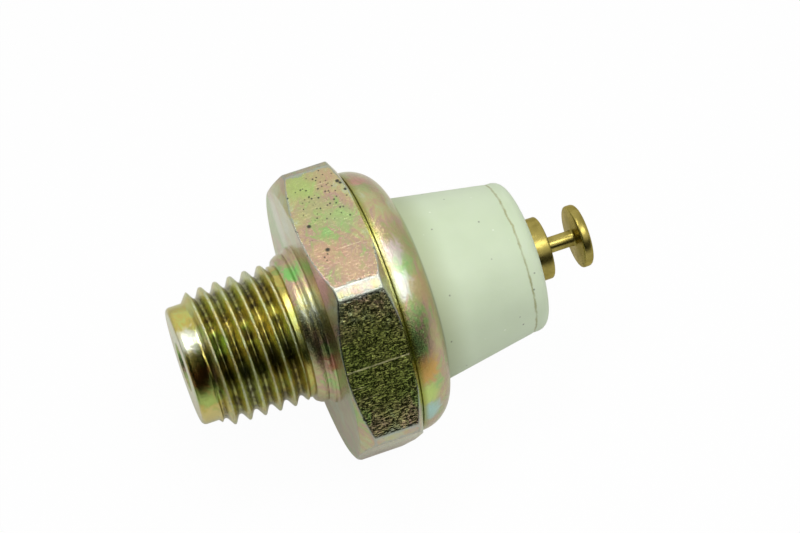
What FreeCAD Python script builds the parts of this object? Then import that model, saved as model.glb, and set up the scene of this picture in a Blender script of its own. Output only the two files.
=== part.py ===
"""Oil pressure sender: a screw-in diaphragm switch with one insulated terminal.

The sender lies on one flat of its hexagon, as it comes to rest on a bench.
Millimetres. +X runs from the threaded stub to the terminal, +Z is up, and the
origin is where the thread's axis meets the plane of the groove in its flare.
"""
import FreeCAD, Part
import math
import os

# Threaded stub, M14 x 1.5 with a taper of 1 in 16, drawn here as the cone over its crests
thread_end_dia = 14.0
thread_taper = 16.0
stub_length = 12.0
pilot_dia = 11.7
pilot_length = 1.65
tip_chamfer = 0.4
lead_in_length = 0.75
inlet_bore_dia = 4.0
inlet_chamfer = 0.5

# Relief at the thread's end, where the last turn runs out
relief_width = 0.75
relief_depth = 0.4
relief_slope = 0.2

# Flare from the thread to the hexagon, two turned cones with a fine groove between them
runout_length = 1.0
runout_step = 0.1
runout_rise = 0.45
flare_groove_width = 0.15
flare_groove_depth = 0.12
flare_length = 1.0
flare_rise = 0.85
flare_land = 0.25

# Hexagon, with its corners turned off and both ends chamfered
across_flats = 27.0
hex_thickness = 6.2
corner_cut = 0.34
front_face_inset = 0.05
rear_face_outset = 0.4
hex_chamfer_deg = 30.0

# Collar behind the hexagon, rolled over the insulator's shoulder
neck_depth = 0.25
neck_width = 0.4
collar_wall = 1.35
collar_land = 0.35
collar_height = 4.15
roll_bulge = 0.7
lip_thickness = 0.95
lip_edge_chamfer = 0.15

# Cavity in the hexagon, with the seal's groove and the pressure chamber in its floor
hex_wall = 1.8
cavity_depth = 3.6
seal_land = 1.4
seal_width = 1.1
seal_thickness = 1.0
chamber_land = 1.0
chamber_depth = 1.2

# Diaphragm, and the plate that it lifts
diaphragm_thickness = 0.3
plate_thickness = 0.7

# Contact cup, pressed from sheet, which carries the earth contacts
sheet_thickness = 0.8
cup_bend = 0.3
gasket_thickness = 0.6

# Contacts
contact_lift = 0.6
contact_count = 3
contact_head_dia = 1.8
contact_head_height = 0.35
contact_shank_dia = 1.0
contact_tail_dia = 1.5
contact_tail_height = 0.25
disc_margin = 0.6
disc_thickness = 0.5
hub_height = 0.6
plunger_stem_dia = 3.8
plunger_foot_lip = 1.3
plunger_foot_height = 0.6
plunger_spigot_step = 0.7

# Contact spring, which presses the disc on the contacts
spring_mean_dia = 5.9
spring_wire_dia = 0.8
spring_height = 6.2
spring_pitch = 1.8
spring_ground = 0.3

# Insulator, moulded in nylon
cone_base_dia = 18.6
cone_tip_dia = 15.24
cone_length = 9.75
mould_step = 0.05
cap_length = 1.7
cap_rounding = 1.3

# Spring seat, a washer under the stud's riveted end
spring_seat_dia = 7.4
spring_seat_thickness = 0.6

# Terminal stud, turned from one brass bar
terminal_dia = 6.3
shoulder_length = 2.2
shoulder_chamfer = 0.2
neck_pin_dia = 1.6
neck_pin_length = 3.1
neck_flare = 0.25
button_thickness = 1.0
button_chamfer = 0.2
button_rounding = 0.4
shank_dia = 3.8
grip_groove_depth = 0.3
grip_groove_width = 0.6
grip_groove_spacing = 1.4
grip_groove_count = 4
rivet_height = 0.7
rivet_chamfer = 0.4

# Clearances
loose_gap = 0.1
close_gap = 0.03
running_gap = 0.08
stop_gap = 0.1
centring_gap = 0.2
coil_gap = 0.5
plate_gap = 0.5
tail_gap = 0.7
wall_gap = 1.05

# Places along the axis
stub_tip_x = -stub_length
thread_end_x = -runout_length
hex_front_x = flare_length
hex_rear_x = hex_front_x + hex_thickness
lip_x = hex_rear_x + collar_height
roll_start_x = hex_rear_x + neck_width + collar_land
lip_inner_x = lip_x - lip_thickness
cavity_floor_x = hex_rear_x - cavity_depth
chamber_floor_x = cavity_floor_x - chamber_depth
seal_x = cavity_floor_x - seal_thickness
stack_x = cavity_floor_x + diaphragm_thickness
plate_top_x = stack_x + plate_thickness
foot_top_x = plate_top_x + plunger_foot_height
web_under_x = foot_top_x + contact_lift + stop_gap
web_top_x = web_under_x + sheet_thickness
fixed_face_x = web_top_x + contact_head_height
moving_face_x = fixed_face_x + close_gap
disc_under_x = moving_face_x + contact_head_height
disc_top_x = disc_under_x + disc_thickness
hub_top_x = disc_top_x + hub_height
gasket_x = stack_x + sheet_thickness
insulator_base_x = gasket_x + gasket_thickness
contact_room_x = hub_top_x + contact_lift + coil_gap
spring_seat_x = disc_top_x + spring_height
shank_end_x = spring_seat_x + spring_seat_thickness
cone_end_x = lip_x + cone_length
insulator_end_x = cone_end_x + cap_length
shoulder_end_x = insulator_end_x + shoulder_length
button_under_x = shoulder_end_x + neck_pin_length
button_end_x = button_under_x + button_thickness

# Radii that several pieces share
thread_end_r = thread_end_dia / 2
runout_r = thread_end_r + runout_rise
flare_r = thread_end_r + flare_rise
bore_r = inlet_bore_dia / 2
cavity_r = across_flats / 2 - hex_wall
collar_r = cavity_r + collar_wall
neck_r = collar_r - neck_depth
stack_r = cavity_r - loose_gap
seal_outer_r = cavity_r - seal_land
seal_inner_r = seal_outer_r - seal_width
chamber_r = seal_inner_r - chamber_land
spring_inner_r = (spring_mean_dia - spring_wire_dia) / 2
spring_outer_r = (spring_mean_dia + spring_wire_dia) / 2
centring_r = spring_inner_r - centring_gap
spring_room_r = max(spring_outer_r, spring_seat_dia / 2) + loose_gap
contact_circle_r = spring_outer_r + tail_gap + contact_tail_dia / 2
disc_r = contact_circle_r + contact_head_dia / 2 + disc_margin
cup_inner_r = contact_circle_r + contact_tail_dia / 2 + wall_gap
cup_wall_r = cup_inner_r + sheet_thickness
plate_r = cup_inner_r - plate_gap
contact_room_r = max(cup_wall_r + cup_bend, disc_r) + loose_gap
plunger_stem_r = plunger_stem_dia / 2
plunger_spigot_r = plunger_stem_r - plunger_spigot_step
shank_r = shank_dia / 2
terminal_r = terminal_dia / 2

X_AXIS = FreeCAD.Vector(1, 0, 0)
ORIGIN = FreeCAD.Vector(0, 0, 0)


def crest_radius(x):
    """Radius over the thread's crests at a place on the axis."""
    return thread_end_r + (x - thread_end_x) / 2 / thread_taper


def cone_radius(x):
    """Radius of the insulator's tapered outside at a place on the axis."""
    taper = (cone_base_dia - cone_tip_dia) / 2 / cone_length
    return cone_base_dia / 2 - (x - lip_x) * taper


def point(place):
    """The point in the drawing plane at a place given as (x, radius)."""
    return FreeCAD.Vector(place[0], place[1], 0)


def turned(start, *steps):
    """Turn a closed outline of (x, radius) places about the thread's axis.

    A step is the next place, or for an arc a pair: one place on it, and its end.
    """
    edges = []
    here = point(start)
    for step in steps + (start,):
        if isinstance(step[0], tuple):
            end = point(step[1])
            edges.append(Part.Arc(here, point(step[0]), end).toShape())
        else:
            end = point(step)
            if not end.isEqual(here, 1e-6):
                edges.append(Part.makeLine(here, end))
        here = end
    return Part.Face(Part.Wire(edges)).revolve(ORIGIN, X_AXIS, 360)


def arc_step(centre, radius, start_deg, end_deg):
    """The step for turned that follows a round of the given centre and radius."""

    def place(degrees):
        angle = math.radians(degrees)
        return (centre[0] + radius * math.cos(angle), centre[1] + radius * math.sin(angle))

    return (place((start_deg + end_deg) / 2), place(end_deg))


def roll_step(start, end):
    """The step for turned from the collar's wall round to the lip, or back.

    The roll leaves the wall along the axis and comes down square to it.
    """
    wall, lip = sorted((start, end), key=lambda place: -place[1])
    x = wall[0] + (lip[0] - wall[0]) * roll_bulge
    radius = lip[1] + (wall[1] - lip[1]) * roll_bulge
    return ((x, radius), end)


def ring(inner_r, outer_r, start_x, end_x):
    """A plain washer, or a disc where the inner radius is nought."""
    return turned((start_x, inner_r), (start_x, outer_r), (end_x, outer_r), (end_x, inner_r))


def on_contact_circle(shape):
    """Copies of a shape on the axis, spread evenly round the contact circle."""
    copies = []
    for i in range(contact_count):
        copy = shape.copy()
        copy.translate(FreeCAD.Vector(0, 0, contact_circle_r))
        copy.rotate(ORIGIN, X_AXIS, 360 / contact_count * i)
        copies.append(copy)
    return copies


def hexagon():
    """Six-sided bar cut to length, with the corners and both ends turned."""
    corner_to_centre = across_flats / 2 / math.cos(math.radians(30))
    corners = []
    for i in range(7):
        angle = math.radians(60 * i)
        y, z = corner_to_centre * math.cos(angle), corner_to_centre * math.sin(angle)
        corners.append(FreeCAD.Vector(hex_front_x, y, z))
    bar = Part.Face(Part.makePolygon(corners)).extrude(FreeCAD.Vector(hex_thickness, 0, 0))

    slope = math.tan(math.radians(hex_chamfer_deg))
    front_r = across_flats / 2 - front_face_inset
    rear_r = across_flats / 2 + rear_face_outset
    corner_r = corner_to_centre - corner_cut
    blank = turned(
        (hex_front_x, 0),
        (hex_front_x, front_r),
        (hex_front_x + (corner_r - front_r) * slope, corner_r),
        (hex_rear_x - (corner_r - rear_r) * slope, corner_r),
        (hex_rear_x, rear_r),
        (hex_rear_x, 0),
    )
    return bar.common(blank)


def body_outside():
    """Turned outside of the body: stub, flare and collar, with the lip rolled over."""
    pilot_r = pilot_dia / 2
    thread_start_x = stub_tip_x + pilot_length + lead_in_length
    relief_x = thread_end_x - relief_width
    relief_r = thread_end_r - relief_depth
    groove_r = runout_r - flare_groove_depth
    lip_r = cone_radius(lip_x) + close_gap
    return turned(
        (stub_tip_x, 0),
        (stub_tip_x, pilot_r - tip_chamfer),
        (stub_tip_x + tip_chamfer, pilot_r),
        (stub_tip_x + pilot_length, pilot_r),
        (thread_start_x, crest_radius(thread_start_x)),
        (relief_x, crest_radius(relief_x)),
        (relief_x + relief_slope, relief_r),
        (thread_end_x, relief_r),
        (thread_end_x + runout_step, thread_end_r),
        (0, runout_r),
        (0, groove_r),
        (flare_groove_width, groove_r),
        (flare_groove_width, runout_r),
        (hex_front_x - flare_land, flare_r),
        (hex_front_x, flare_r),
        (hex_front_x, neck_r),
        (hex_rear_x + neck_width, neck_r),
        (hex_rear_x + neck_width, collar_r),
        (roll_start_x, collar_r),
        roll_step((roll_start_x, collar_r), (lip_x, lip_r + lip_edge_chamfer)),
        (lip_x - lip_edge_chamfer, lip_r),
        (lip_x - lip_edge_chamfer, 0),
    )


def body_inside():
    """What is bored out of the body: inlet, pressure chamber and cavity."""
    hollow = turned(
        (stub_tip_x, 0),
        (stub_tip_x, bore_r + inlet_chamfer),
        (stub_tip_x + inlet_chamfer, bore_r),
        (chamber_floor_x, bore_r),
        (chamber_floor_x, chamber_r),
        (cavity_floor_x, chamber_r),
        (cavity_floor_x, cavity_r),
        (roll_start_x, cavity_r),
        roll_step((roll_start_x, cavity_r), (lip_inner_x, cone_radius(lip_inner_x) + close_gap)),
        (lip_x, cone_radius(lip_x) + close_gap),
        (lip_x, 0),
    )
    groove = ring(seal_inner_r - loose_gap, seal_outer_r + loose_gap, seal_x, cavity_floor_x)
    return hollow.fuse(groove)


def hex_body():
    """Body, turned from hexagon bar in one piece."""
    return body_outside().fuse(hexagon()).cut(body_inside())


def seal_ring():
    """Square-cut rubber ring in the cavity's floor, under the diaphragm's rim."""
    return ring(seal_inner_r, seal_outer_r, seal_x, cavity_floor_x)


def diaphragm():
    """Thin flat disc, clamped at its rim."""
    return ring(0, stack_r, cavity_floor_x, stack_x)


def diaphragm_plate():
    """Stiff disc that carries the diaphragm's middle."""
    return ring(0, plate_r, stack_x, plate_top_x)


def plunger():
    """Moulded plunger: a foot on the plate, a stem through the cup, and a spigot."""
    foot_r = plunger_stem_r + plunger_foot_lip
    return turned(
        (plate_top_x, 0),
        (plate_top_x, foot_r),
        (foot_top_x, foot_r),
        (foot_top_x, plunger_stem_r),
        (disc_under_x, plunger_stem_r),
        (disc_under_x, plunger_spigot_r),
        (hub_top_x, plunger_spigot_r),
        (hub_top_x, 0),
    )


def contact_cup():
    """Pressed cup: a clamped flange, a wall, and a web with the plunger's hole."""
    hole_r = plunger_stem_r + running_gap
    cup = turned(
        (stack_x, cup_wall_r),
        (stack_x, stack_r),
        (gasket_x, stack_r),
        (gasket_x, cup_wall_r + cup_bend),
        (gasket_x + cup_bend, cup_wall_r),
        (web_top_x - cup_bend, cup_wall_r),
        (web_top_x, cup_wall_r - cup_bend),
        (web_top_x, hole_r),
        (web_under_x, hole_r),
        (web_under_x, cup_inner_r),
        (gasket_x, cup_inner_r),
    )
    hole = ring(0, contact_shank_dia / 2, web_under_x, web_top_x)
    for copy in on_contact_circle(hole):
        cup = cup.cut(copy)
    return cup


def contact_rivet(face_x, back_x, tail_x):
    """A silver contact: its head's face and back, and the end of its tail."""
    way = math.copysign(1, tail_x - face_x)
    tail_back_x = tail_x - way * contact_tail_height
    return turned(
        (face_x, 0),
        (face_x, contact_head_dia / 2),
        (back_x, contact_head_dia / 2),
        (back_x, contact_shank_dia / 2),
        (tail_back_x, contact_shank_dia / 2),
        (tail_back_x, contact_tail_dia / 2),
        (tail_x, contact_tail_dia / 2),
        (tail_x, 0),
    )


def fixed_contacts():
    """Contacts riveted into the cup's web, earthed through the body."""
    tail_x = web_under_x - contact_tail_height
    return Part.makeCompound(on_contact_circle(contact_rivet(fixed_face_x, web_top_x, tail_x)))


def moving_contacts():
    """Contacts riveted into the disc, above the fixed ones."""
    tail_x = disc_top_x + contact_tail_height
    return Part.makeCompound(on_contact_circle(contact_rivet(moving_face_x, disc_under_x, tail_x)))


def contact_disc():
    """Brass disc with a raised hub that centres the spring."""
    disc = turned(
        (disc_under_x, plunger_spigot_r),
        (disc_under_x, disc_r),
        (disc_top_x, disc_r),
        (disc_top_x, centring_r),
        (hub_top_x, centring_r),
        (hub_top_x, plunger_spigot_r),
    )
    hole = ring(0, contact_shank_dia / 2, disc_under_x, disc_top_x)
    for copy in on_contact_circle(hole):
        disc = disc.cut(copy)
    return disc


def contact_spring():
    """Compression spring between the disc and its seat, with both ends ground flat."""
    overrun = spring_wire_dia / 2 - spring_ground
    length = spring_height - 2 * overrun
    coil_r = spring_mean_dia / 2
    path = Part.makeHelix(spring_pitch, length, coil_r)
    section = Part.makeCircle(spring_wire_dia / 2, FreeCAD.Vector(coil_r, 0, 0), FreeCAD.Vector(0, 1, 0))
    wire = Part.Wire(path).makePipeShell([Part.Wire(section)], True, True)
    wire.rotate(ORIGIN, FreeCAD.Vector(0, 1, 0), 90)
    wire.translate(FreeCAD.Vector(disc_top_x + overrun, 0, 0))
    return wire.common(ring(0, spring_room_r, disc_top_x, spring_seat_x))


def spring_seat():
    """Washer that the spring bears on, held by the stud's riveted end."""
    return ring(shank_r, spring_seat_dia / 2, spring_seat_x, shank_end_x)


def cover_gasket():
    """Flat gasket between the cup's flange and the insulator."""
    return ring(contact_room_r, stack_r, gasket_x, insulator_base_x)


def insulator():
    """Moulded cover: a flange under the rolled lip, a tapered wall and a rounded end."""
    shoulder_r = cone_radius(lip_inner_x)
    cap_r = cone_radius(cone_end_x) - mould_step
    return turned(
        (insulator_base_x, contact_room_r),
        (insulator_base_x, stack_r),
        (roll_start_x, stack_r),
        roll_step((roll_start_x, stack_r), (lip_inner_x - close_gap, shoulder_r)),
        (cone_end_x, cone_radius(cone_end_x)),
        (cone_end_x, cap_r),
        (insulator_end_x - cap_rounding, cap_r),
        arc_step((insulator_end_x - cap_rounding, cap_r - cap_rounding), cap_rounding, 90, 0),
        (insulator_end_x, shank_r),
        (shank_end_x, shank_r),
        (shank_end_x, spring_room_r),
        (contact_room_x, spring_room_r),
        (contact_room_x, contact_room_r),
    )


def terminal_stud():
    """Brass stud: riveted shank, shoulder, neck pin and the button that a clip grips."""
    pin_r = neck_pin_dia / 2
    rivet_start_x = spring_seat_x - rivet_height
    rim = (button_end_x - button_rounding, terminal_r - button_rounding)
    stud = turned(
        (rivet_start_x, 0),
        (rivet_start_x, centring_r - rivet_chamfer),
        (rivet_start_x + rivet_chamfer, centring_r),
        (spring_seat_x, centring_r),
        (spring_seat_x, shank_r),
        (insulator_end_x, shank_r),
        (insulator_end_x, terminal_r),
        (shoulder_end_x - shoulder_chamfer, terminal_r),
        (shoulder_end_x, terminal_r - shoulder_chamfer),
        (shoulder_end_x, pin_r + neck_flare),
        (shoulder_end_x + neck_flare, pin_r),
        (button_under_x - neck_flare, pin_r),
        (button_under_x, pin_r + neck_flare),
        (button_under_x, terminal_r - button_chamfer),
        (button_under_x + button_chamfer, terminal_r),
        (button_end_x - button_rounding, terminal_r),
        arc_step(rim, button_rounding, 90, 0),
        (button_end_x, 0),
    )
    groove = ring(shank_r - grip_groove_depth, shank_r, 0, grip_groove_width)
    first_x = (shank_end_x + insulator_end_x - grip_groove_spacing * (grip_groove_count - 1)) / 2
    for i in range(grip_groove_count):
        place = first_x + grip_groove_spacing * i - grip_groove_width / 2
        stud = stud.cut(groove.translated(FreeCAD.Vector(place, 0, 0)))
    return stud


def save(name, shape):
    """Write one sub-part, after a check that it is sound."""
    shape = shape.removeSplitter()
    if not shape.isValid() or not shape.Solids:
        raise ValueError(name + " is not a sound solid")
    if len(shape.Solids) == 1:
        shape = shape.Solids[0]
    shape.exportStep(os.path.join("parts", name + ".step"))
    print(name, len(shape.Solids), round(shape.Volume, 3))


os.makedirs("parts", exist_ok=True)
save("hex_body", hex_body())
save("seal_ring", seal_ring())
save("diaphragm", diaphragm())
save("diaphragm_plate", diaphragm_plate())
save("plunger", plunger())
save("contact_cup", contact_cup())
save("fixed_contacts", fixed_contacts())
save("contact_disc", contact_disc())
save("moving_contacts", moving_contacts())
save("contact_spring", contact_spring())
save("spring_seat", spring_seat())
save("cover_gasket", cover_gasket())
save("insulator", insulator())
save("terminal_stud", terminal_stud())
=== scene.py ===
import math

import bmesh
import bpy
from mathutils import Matrix, Vector


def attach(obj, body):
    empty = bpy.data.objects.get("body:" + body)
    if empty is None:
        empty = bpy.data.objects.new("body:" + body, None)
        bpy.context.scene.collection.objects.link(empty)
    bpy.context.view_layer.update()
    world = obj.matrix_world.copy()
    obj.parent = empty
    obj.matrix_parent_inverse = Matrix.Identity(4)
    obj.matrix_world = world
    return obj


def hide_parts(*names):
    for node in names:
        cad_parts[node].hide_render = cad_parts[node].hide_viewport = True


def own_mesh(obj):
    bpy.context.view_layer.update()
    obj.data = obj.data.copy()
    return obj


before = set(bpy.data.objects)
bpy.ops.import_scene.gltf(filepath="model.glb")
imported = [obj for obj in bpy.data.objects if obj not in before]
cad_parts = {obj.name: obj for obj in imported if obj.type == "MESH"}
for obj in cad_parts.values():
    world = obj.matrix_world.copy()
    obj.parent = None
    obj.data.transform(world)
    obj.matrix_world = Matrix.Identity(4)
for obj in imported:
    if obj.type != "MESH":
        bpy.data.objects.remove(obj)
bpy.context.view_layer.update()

# Sizes in millimetres, and places along the thread's axis from the groove in the flare

# Steps round the axis in each turned piece, and in the spring
BODY_COLUMNS = 192
COVER_COLUMNS = 144
STUD_COLUMNS = 112
CLOTH_COLUMNS = 96
COIL_STEPS = 48
WIRE_SIDES = 20

# Rolled thread on its taper, with the plain pilot in front and the relief behind
PITCH = 1.5
ROWS_PER_PITCH = 16
THREAD_FROM = -10.35
THREAD_TO = -1.0
THREAD_END_R = 7.0
THREAD_TAPER = 16.0
THREAD_DEPTH = 0.86
CREST_AT = -8.3646
CREST_LAND = PITCH / 16
CREST_SOFTNESS = 0.05
ROOT_SOFTNESS = 0.16
PILOT_R = 5.85
LEAD_IN_TO = -9.6
RELIEF_FROM = -1.75
RELIEF_RUN = 0.3
RELIEF_R = 6.6

# Stub and flare
STUB_TIP = -12.0
BORE_R = 2.0
BORE_CHAMFER = 0.5
RUNOUT_R = 7.45
FLARE_R = 7.85
GROOVE_DEPTH = 0.12

# Hexagon, with its corners and both ends turned
HEX_FROM = 1.0
HEX_TO = 7.2
HALF_FLATS = 13.5
CORNER_R = 15.248
FRONT_R = 13.45
REAR_R = 13.9
CHAMFER_SLOPE = math.tan(math.radians(30))
EDGE_ROUND = 0.13
HEX_RINGS = 12
FRONT_FLATS_Y = -7.85

# Columns next to the places where the rear chamfer and the turned corner start, in degrees off
# a flat's middle, and where they are moved to
COLUMN_MOVES = {13.125: 13.79, 26.25: 27.3, 28.125: 28.1}

# Where the hexagon's rings wait as plain circles until they are shaped
WAITING_X = 4
WAITING_R = 20

# Collar, rolled in over the insulator's shoulder
NECK_R = 12.8
LAND_FROM = 7.6
COLLAR_R = 13.05
ROLL_FROM = 7.95
LIP = 11.35
LIP_R = 9.33
LIP_CHAMFER = 0.15
OUTER_ROLL_MIDDLE = (10.33, 11.98)
INNER_ROLL_MIDDLE = (9.665, 11.038)
INNER_ROLL_END = (10.4, 9.49)

# Rooms in the body, and the seal's groove in the cavity's floor
CAVITY_R = 11.7
CAVITY_FLOOR = 3.6
CHAMBER_R = 8.2
CHAMBER_FLOOR = 2.4
SEAL_FLOOR = 2.6
SEAL_INNER_R = 9.1
SEAL_OUTER_R = 10.4

# Insulator, from its flange under the roll to its cap, and the rooms in it
STACK_R = 11.6
INSULATOR_FROM = 5.3
SHOULDER_ROLL_MIDDLE = (9.644, 10.958)
SHOULDER_ROLL_END = (10.37, 9.46)
CONE_TIP_R = 7.62
CONE_TO = 21.1
CAP_TO = 22.8
CAP_STEP = 0.05
CAP_ROUND = 1.05
CONTACT_ROOM_R = 7.8
CONTACT_ROOM_TO = 9.63
SPRING_ROOM_R = 3.8
SEAT_TO = 14.73

# Terminal stud
SHANK_R = 1.9
RIVET_FROM = 13.43
RIVET_R = 2.35
RIVET_CHAMFER = 0.4
GRIP_COUNT = 4
GRIP_FIRST = 16.665
GRIP_SPACING = 1.4
GRIP_HALF_WIDTH = 0.3
GRIP_R = 1.6
TERMINAL_R = 3.15
SHOULDER_TO = 25.0
BUTTON_FROM = 28.1
BUTTON_TO = 29.1
PIN_R = 0.8

# Diaphragm, and how far the contacts lift
PLATE_R = 6.1
DIAPHRAGM_TO = 3.9
FOLD_WIDTH = 0.3
LIFT = 0.6

# Contact spring
SPRING_FROM = 7.93
SPRING_TO = 14.13
COIL_R = 2.95
WIRE_R = 0.4
COIL_PITCH = 1.8
GROUND = 0.3


# Meshes

def arc(start, middle, end, steps):
    """Places on the round through three places, without the first."""
    (ax, ay), (bx, by), (cx, cy) = start, middle, end
    d = 2 * (ax * (by - cy) + bx * (cy - ay) + cx * (ay - by))
    sa, sb, sc = ax * ax + ay * ay, bx * bx + by * by, cx * cx + cy * cy
    ux = (sa * (by - cy) + sb * (cy - ay) + sc * (ay - by)) / d
    uy = (sa * (cx - bx) + sb * (ax - cx) + sc * (bx - ax)) / d
    radius = math.hypot(ax - ux, ay - uy)
    first = math.atan2(ay - uy, ax - ux)
    turn = math.atan2(cy - uy, cx - ux) - first
    turn = (turn + math.pi) % (2 * math.pi) - math.pi
    places = []
    for i in range(1, steps + 1):
        angle = first + turn * i / steps
        places.append((ux + radius * math.cos(angle), uy + radius * math.sin(angle)))
    return places


def draw_outline(bm, places, closed=False):
    """A chain of edges through (x, radius) places, rounded where a third value asks."""
    verts = [bm.verts.new((p[0], p[1], 0)) for p in places]
    for a, b in zip(verts, verts[1:]):
        bm.edges.new((a, b))
    if closed:
        bm.edges.new((verts[-1], verts[0]))
    rounds = sorted({p[2] for p in places if len(p) > 2})
    for size in rounds:
        corners = [v for v, p in zip(verts, places) if len(p) > 2 and p[2] == size]
        bmesh.ops.bevel(bm, geom=corners, offset=size, offset_type="OFFSET", segments=4,
                        profile=0.5, affect="VERTICES", material=-1, clamp_overlap=True)


def spin_outline(bm, columns):
    """Turn the drawn outline about the thread's axis into a closed skin."""
    bmesh.ops.spin(bm, geom=bm.verts[:] + bm.edges[:], cent=(0, 0, 0), axis=(1, 0, 0),
                   angle=2 * math.pi, steps=columns, use_merge=True)
    bmesh.ops.remove_doubles(bm, verts=bm.verts, dist=0.001)


def make_piece(name, bm, body, nodes, materials):
    """Finish a mesh drawn in millimetres as a piece that stands for CAD nodes."""
    bmesh.ops.recalc_face_normals(bm, faces=bm.faces)
    sharp = math.radians(50)
    for face in bm.faces:
        face.smooth = True
    for edge in bm.edges:
        edge.smooth = len(edge.link_faces) == 2 and edge.calc_face_angle() < sharp
    bmesh.ops.scale(bm, vec=(0.001, 0.001, 0.001), verts=bm.verts)
    mesh = bpy.data.meshes.new(name)
    bm.to_mesh(mesh)
    bm.free()
    piece = bpy.data.objects.new(name, mesh)
    bpy.context.scene.collection.objects.link(piece)
    for material in materials:
        mesh.materials.append(material)
    soften = piece.modifiers.new("even_shading", "WEIGHTED_NORMAL")
    soften.keep_sharp = True
    soften.weight = 60
    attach(piece, body)
    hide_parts(*nodes)
    return piece


def smoothed(value):
    """A soft step from 0 to 1."""
    value = min(max(value, 0.0), 1.0)
    return value * value * (3 - 2 * value)


def crest_radius(x):
    """Radius over the thread's crests at a place on the axis."""
    return THREAD_END_R + (x - THREAD_TO) / 2 / THREAD_TAPER


def groove_depth(phase):
    """Depth below the crest at a place in the pitch, 0 at the crest's middle."""
    away = abs(phase - round(phase)) * PITCH
    flank = (away - CREST_LAND) / math.tan(math.radians(30))
    flank = (flank + math.sqrt(flank * flank + CREST_SOFTNESS * CREST_SOFTNESS)) / 2
    rest = THREAD_DEPTH - flank
    return THREAD_DEPTH - (rest + math.sqrt(rest * rest + ROOT_SOFTNESS * ROOT_SOFTNESS)) / 2


def roll_thread(bm):
    """The right-hand thread, a flat grid rolled up so that its rows follow the helix."""
    row = PITCH / ROWS_PER_PITCH
    before = math.ceil((CREST_AT - THREAD_FROM + PITCH) / row)
    rows = before + math.ceil((THREAD_TO - CREST_AT) / row)
    grid = bmesh.ops.create_grid(bm, x_segments=rows, y_segments=BODY_COLUMNS, size=0.5)
    lead_slope = (crest_radius(LEAD_IN_TO) - PILOT_R) / (LEAD_IN_TO - THREAD_FROM)
    for vert in grid["verts"]:
        turn = vert.co.y + 0.5
        unrolled = CREST_AT + (round((vert.co.x + 0.5) * rows) - before) * row
        x = min(max(unrolled + PITCH * turn, THREAD_FROM), THREAD_TO)
        phase = (x - CREST_AT) / PITCH - turn
        radius = crest_radius(x) - groove_depth(phase)
        into_relief = smoothed((x - RELIEF_FROM) / RELIEF_RUN)
        radius += (RELIEF_R - radius) * into_relief
        radius = min(radius, PILOT_R + max(x - THREAD_FROM, 0) * lead_slope)
        angle = 2 * math.pi * turn
        vert.co = Vector((x, radius * math.cos(angle), radius * math.sin(angle)))


def eased(before, corner, after, size):
    """Three places that round a corner between two others."""
    places = []
    for other in (before, after):
        reach = math.dist(corner, other)
        part = min(size, 0.4 * reach) / reach if reach > 1e-6 else 0
        places.append(tuple(c + (o - c) * part for c, o in zip(corner, other)))
    middle = tuple(c / 2 + (a + b) / 4 for c, a, b in zip(corner, *places))
    return [places[0], middle, places[1]]


def hexagon_column(phi):
    """Places from the flare to the neck in the column phi radians off a flat's middle."""
    out = min(HALF_FLATS / math.cos(phi), CORNER_R)
    rear = min(REAR_R, out)
    chain = [
        (HEX_FROM, FLARE_R),
        (HEX_FROM, FRONT_R),
        (HEX_FROM + (out - FRONT_R) * CHAMFER_SLOPE, out),
        (HEX_TO - (out - rear) * CHAMFER_SLOPE, out),
        (HEX_TO, rear),
        (HEX_TO, NECK_R),
    ]
    places = []
    for i in range(1, len(chain) - 1):
        places += eased(chain[i - 1], chain[i], chain[i + 1], EDGE_ROUND)
    return places


def shape_hexagon(bm):
    """Bring the waiting rings to the hexagon with its turned corners and chamfers."""
    for vert in bm.verts:
        radius = math.hypot(vert.co.y, vert.co.z)
        if radius < WAITING_R - 0.5:
            continue
        ring = round(radius) - WAITING_R
        theta = math.degrees(math.atan2(vert.co.z, vert.co.y))
        phi = theta % 60 - 30
        phi_shaped = math.copysign(COLUMN_MOVES.get(round(abs(phi), 3), abs(phi)), phi)
        theta = math.radians(theta + phi_shaped - phi)
        x, radius = hexagon_column(math.radians(phi_shaped))[ring]
        vert.co = Vector((x, radius * math.cos(theta), radius * math.sin(theta)))


def part_finishes(bm):
    """Give the flats the drawn bar's finish and the stub the rolled one, as slots 1 and 2."""
    for face in bm.faces:
        centre = face.calc_center_median()
        reach = math.hypot(centre.y, centre.z)
        level = HEX_FROM + 0.05 < centre.x < HEX_TO - 0.05 and abs(face.normal.x) < 0.05
        if level and HALF_FLATS - 0.1 < reach < CORNER_R - 0.06:
            face.material_index = 1
        elif centre.x < THREAD_TO - 0.01 and reach > BORE_R + 0.3:
            face.material_index = 2


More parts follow.
